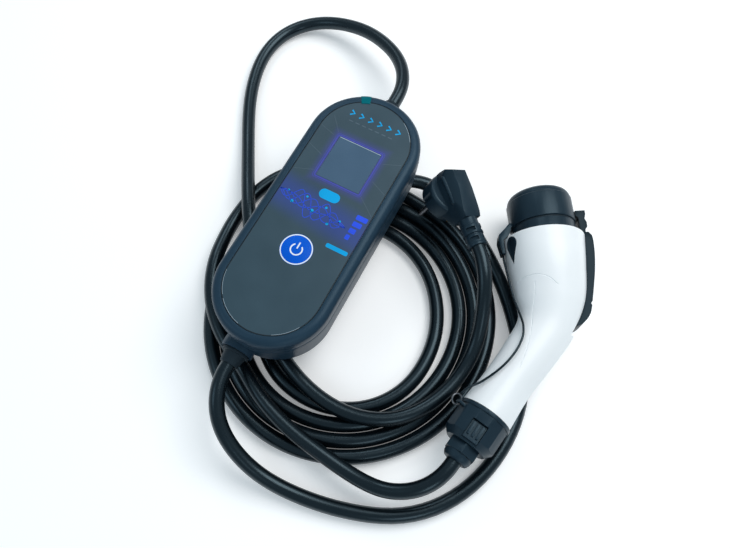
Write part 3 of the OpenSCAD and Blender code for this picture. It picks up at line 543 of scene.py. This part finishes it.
# Recess of the side insert, a teardrop, from its floor to outside the shell
DROP_R = 6.8
DROP_TAIL = 17.45
DROP_FLOOR = 27.5
DROP_TOP = 36
side_face = Matrix.Translation(Vector((-1.3, -10, 0)) * MM) @ turn("Y", -68)
tangent = 90 - math.degrees(math.acos(DROP_R / DROP_TAIL))
teardrop = [*arc_points(0, 0, DROP_R, -tangent, 180 + tangent, 40), (0, -DROP_TAIL)]
# Screw holes of the lower half
BORE_R = 3.05
BORE_LOW = -40
BORE_TOP = -9
BORES = [(-24, -20), (12, -52), (-17, -85), (-52, -124)]
# Fine creases on top
CREASE_R = 0.45
CREASES = [
    [(-31, -42.5), (-26, -41), (-18, -41.5), (-10, -45.5), (-4, -51.5)],
    [
        (-20.5, -46), (-21, -53), (-22.5, -61), (-24.5, -70), (-27, -80), (-31, -91), (-36, -102),
        (-42, -113),
    ],
]
ABOVE_SHELL = 90


def on_top(tree, x, y):
    """The point on top of the shell over a place in the connector's frame."""
    hit = tree.ray_cast(Vector((x, y, ABOVE_SHELL)) * MM, Vector((0, 0, -1)))
    return hit[0]


def crease(tree, points):
    line = [on_top(tree, x, y) for x, y in smooth(points, steps=6)]
    return tube_mesh("crease", line, CREASE_R * MM, sides=8)


upper = shell_half("connector_upper", 1)
upper_tree = BVHTree.FromPolygons(
    [v.co for v in upper.data.vertices], [tuple(p.vertices) for p in upper.data.polygons])
upper = cut(upper, [
    prism_object("slot", SLOT, -SLOT_HALF, SLOT_HALF),
    prism_object("drop", teardrop, DROP_FLOOR, DROP_TOP, side_face),
    *[crease(upper_tree, points) for points in CREASES]])
lower = cut(shell_half("connector_lower", -1), [
    prism_object("slot", SLOT, -SLOT_HALF, SLOT_HALF),
    *[prism_object("bore", circle(x, y, BORE_R, 60), BORE_LOW, BORE_TOP) for x, y in BORES]])
for half, node in ((upper, "body_upper"), (lower, "body_lower")):
    half.name = node + "_fine"
    half.data.transform(GUN)
    half.data.materials.clear()
    half.data.polygons.foreach_set("use_smooth", [True] * len(half.data.polygons))
    half.data.set_sharp_from_angle(angle=math.radians(SHELL_SHARP))
    finish_piece(half, "white_shell", replaces=[node])

# Print on the front panel

PANEL_TOP = 48.0
PRINT_T = 0.04


def ribbon(points, width, closed):
    """The left and the right side of a stroke of one width along a flat line."""
    left, right = [], []
    n = len(points)
    for i, (x, y) in enumerate(points):
        before = points[i - 1] if closed or i > 0 else points[i]
        after = points[(i + 1) % n] if closed or i < n - 1 else points[i]
        along = Vector((after[0] - before[0], after[1] - before[1])).normalized() * (width / 2)
        left.append((x - along.y, y + along.x))
        right.append((x + along.y, y - along.x))
    return left, right


def print_marks(name, material, strokes=(), fields=()):
    """Printed marks as thin prisms on the panel.

    Strokes are (points, width, closed), and fields are outlines.
    """
    vertices, faces = [], []

    def add_strip(left, right, closed):
        n = len(left)
        base = len(vertices)
        for z in (0.0, PRINT_T):
            for line in (left, right):
                vertices.extend(place(BOX, (u, v, PANEL_TOP + z)) for u, v in line)
        steps = n if closed else n - 1
        for k in range(steps):
            j = (k + 1) % n
            l0, r0, l1, r1 = (base + part * n + k for part in range(4))
            l0n, r0n, l1n, r1n = (base + part * n + j for part in range(4))
            faces.extend([(l0, l0n, r0n, r0), (l1, r1, r1n, l1n), (l0, l1, l1n, l0n), (r0, r0n, r1n, r1)])
        if not closed:
            for k in (0, n - 1):
                faces.append(tuple(base + part * n + k for part in (0, 1, 3, 2)))

    for points, width, closed in strokes:
        add_strip(*ribbon(points, width, closed), closed)
    for outline in fields:
        n = len(outline)
        base = len(vertices)
        for z in (0.0, PRINT_T):
            vertices.extend(place(BOX, (u, v, PANEL_TOP + z)) for u, v in outline)
        faces.append(tuple(range(base, base + n)))
        faces.append(tuple(range(base + n, base + 2 * n)))
        faces.extend((base + k, base + (k + 1) % n, base + n + (k + 1) % n, base + n + k) for k in range(n))
    finish_piece(mesh_object(name, vertices, faces), "panel", material=PRINTS[material])


def rounded(u0, u1, v0, v1, r, count=6):
    """Outline of a rectangle with rounded corners."""
    corners = [(u1 - r, v1 - r, 0), (u0 + r, v1 - r, 90), (u0 + r, v0 + r, 180), (u1 - r, v0 + r, 270)]
    return [p for cu, cv, a in corners for p in arc_points(cu, cv, r, a, a + 90, count)]


def band(v):
    """The middle of the light band at v."""
    return BAND_SLOPE * v + BAND_AT


def wave(shift, height, turns, from_v=38, to_v=-24, count=60):
    """One thread of the light band: a wave that swells in the middle."""
    points = []
    for k in range(count + 1):
        t = k / count
        swell = math.sin(math.pi * t) ** 0.8
        v = from_v + (to_v - from_v) * t
        points.append((band(v) + height * swell * math.sin(2 * math.pi * turns * t + shift), v))
    return points


# A dark line round the panel, painted shade in the gap by the bezel, and bright stretches inside it, painted
# highlights on the panel's edge
END = BOX_HALF - BOX_R
GAP_SHADE_R = 38.8
GLINT_R = 38.4
PAINTED_GLINTS = [(-END, 98, 128), (-END, 133, 168), (-END, 208, 240), (END, -62, -34)]
edge_shade_line = [*arc_points(END, 0, GAP_SHADE_R, -90, 90, 60), *arc_points(-END, 0, GAP_SHADE_R, 90, 270, 60)]
print_marks("panel_edge_shade", "gap_shade", [(edge_shade_line, 0.5, True)])
print_marks("panel_edge_glints", "pale_print_and_glint", [
    (arc_points(centre, 0, GLINT_R, start, end, 20), 0.22, False) for centre, start, end in PAINTED_GLINTS])

# Display and pill
print_marks("panel_display_frame", "print_violet", [
    (rounded(26, 68, -20.4, 20.4, 1.5), 0.9, True), (rounded(24.6, 69.4, -21.8, 21.8, 2.4), 0.35, True)])
print_marks("panel_display_edge", "pale_print_and_glint", [([(66.6, 18.6), (66.6, -18.8)], 0.45, False)])
print_marks("panel_pill", "print_cyan", fields=[rounded(10.6, 19.4, -8.8, 8.8, 4.2)])

# Light band: its threads, and points at v, off the band's middle, with their radius
NODES = [
    (31, 2.2, 0.9), (24, -4.4, 1.3), (15, 5.6, 0.9), (6, -2.4, 1.5), (-3, 6, 1.0), (-10, -5, 1.2),
    (-18, 2.4, 0.9),
]
print_marks("panel_waves", "print_blue", [
    (wave(0.9 * k, 3.2 + 1.9 * k, 1.5 + 0.25 * k), 0.42, False) for k in range(5)])
print_marks("panel_nodes", "print_cyan", fields=[circle(band(v) + off, v, r, 20) for v, off, r in NODES])

# Level bars, chevrons and dashes, and faint streaks off the display's corners
STREAKS = [
    [(70, 22), (83, 33)], [(66, 24), (70, 37.6)], [(45, 24), (50, 37.6)], [(30, 23), (24, 37.6)],
    [(26, -22), (14, -37.6)], [(42, -24), (36, -37.6)], [(60, -24), (66, -37.6)],
]
print_marks("panel_levels", "print_blue", fields=[
    rounded(-12 + 6.2 * k, -7.6 + 6.2 * k, -29 - 2 * (k + 1), -27.5, 0.8) for k in range(4)])
print_marks("panel_bar", "print_cyan", fields=[rounded(-24.6, -21, -36.5, -18, 1.2)])
print_marks("panel_flow", "print_cyan", [
    ([(89.6, 22 - 8.4 * k), (92, 18.6 - 8.4 * k), (94.4, 22 - 8.4 * k)], 1.3, False) for k in range(6)])
print_marks("panel_dashes", "print_faint", [
    ([(84.4, 20 - 6 * k), (84.4, 16.4 - 6 * k)], 0.7, False) for k in range(7)])
print_marks("panel_streaks", "print_faint", [(line, 0.25, False) for line in STREAKS])

# Round key: a white ring and the usual power mark
KEY = -37.0
RING_R = 12.3
MARK_R = 4.6
MARK_W = 1.1
print_marks("key_ring", "print_white", [(circle(KEY, 0, RING_R, 64), 0.9, True)])
print_marks("key_mark", "print_white", [
    (arc_points(KEY, 0, MARK_R, 38, 320, 47), MARK_W, False),
    ([(KEY + 0.8, 0), (KEY + 6.4, 0)], MARK_W, False)])

# Cap lanyard: a thin cord from the ring on the collar to the cap's lug

LANYARD = [
    (-87, -128, 13.8), (-81, -124, 14.6), (-72, -121, 15.4), (-60.5, -115, 17.8), (-50, -107.4, 19.2),
    (-41.5, -98.4, 19.6), (-35.8, -89, 19), (-33.4, -79.5, 16.6), (-33.2, -72, 13), (-33.8, -64, 9.5),
    (-35, -54, 6.5), (-36.2, -40, 5.4), (-36.8, -27, 3.6), (-36.9, -19, 1.6), (-36.5, -14.3, 0.5),
]
LANYARD_D = 1.8
LANYARD_STEPS = 8
lanyard_line = [place(GUN, p) for p in smooth(LANYARD, LANYARD_STEPS)]
lanyard = tube_mesh("lanyard_cord", lanyard_line, LANYARD_D * MM / 2)
finish_piece(lanyard, "cable", body=None, replaces=["cap_lanyard"])
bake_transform(lanyard)

# Stage, light and camera

FLOOR_HALF = 15.0
FLOOR_DROP = 0.0004
FLOOR_GLOW = 0.22
EYE = (0, -224.3, 560.8)
SENSOR_W = 36.0
PHOTO_W = 730
FOCAL_PX = 700


def stage():
    scene = bpy.context.scene
    scene.view_settings.view_transform = "Standard"
    h = FLOOR_HALF
    floor_mesh = bpy.data.meshes.new("floor")
    floor_mesh.from_pydata([(-h, -h, 0), (h, -h, 0), (h, h, 0), (-h, h, 0)], [], [(0, 1, 2, 3)])
    floor = bpy.data.objects.new("floor", floor_mesh)
    floor.location.z = -FLOOR_DROP
    scene.collection.objects.link(floor)
    mat = bpy.data.materials.new("floor_paint")
    mat.use_nodes = True
    tree = mat.node_tree
    bsdf = tree.nodes["Principled BSDF"]
    socket(bsdf, "Base Color", (0.97, 0.98, 0.99, 1))
    socket(bsdf, "Roughness", 0.9)
    socket(bsdf, "Specular IOR Level", 0.0)
    path = tree.nodes.new("ShaderNodeLightPath")
    seen = add_math(tree, "MAXIMUM", path.outputs["Is Camera Ray"], path.outputs["Is Glossy Ray"])
    tree.links.new(add_math(tree, "MULTIPLY", seen, FLOOR_GLOW), bsdf.inputs["Emission Strength"])
    floor.data.materials.append(mat)

    world = bpy.data.worlds.new("studio")
    scene.world = world
    world.use_nodes = True
    background = world.node_tree.nodes["Background"]
    socket(background, "Color", (0.74, 0.9, 1.0, 1))
    socket(background, "Strength", 0.42)

    def lamp(name, location, size, watts, colour):
        """A round lamp that points at the frame's origin."""
        data = bpy.data.lights.new(name, "AREA")
        data.shape = "DISK"
        data.size = size
        data.energy = watts
        data.color = colour
        obj = bpy.data.objects.new(name, data)
        obj.location = location
        obj.rotation_euler = (-Vector(location)).to_track_quat("-Z", "Y").to_euler()
        scene.collection.objects.link(obj)

    lamp("key", (0.55, 0.35, 1.15), 1.0, 10.5, (1.0, 0.97, 0.94))
    lamp("fill", (-0.9, -0.2, 0.9), 0.5, 1.0, (0.8, 0.92, 1.0))
    lamp("front", (0.2, -1.0, 0.7), 0.45, 1.2, (0.94, 0.98, 1.0))
    lamp("back", (-0.3, 1.0, 0.9), 0.45, 1.6, (0.94, 0.98, 1.0))

    camera_data = bpy.data.cameras.new("camera")
    camera_data.sensor_fit = "HORIZONTAL"
    camera_data.sensor_width = SENSOR_W
    camera_data.lens = SENSOR_W * FOCAL_PX / PHOTO_W
    camera = bpy.data.objects.new("camera", camera_data)
    eye = at(*EYE)
    camera.location = eye
    camera.rotation_euler = (at(0, 0, 0) - eye).to_track_quat("-Z", "Y").to_euler()
    scene.collection.objects.link(camera)
    scene.camera = camera


stage()
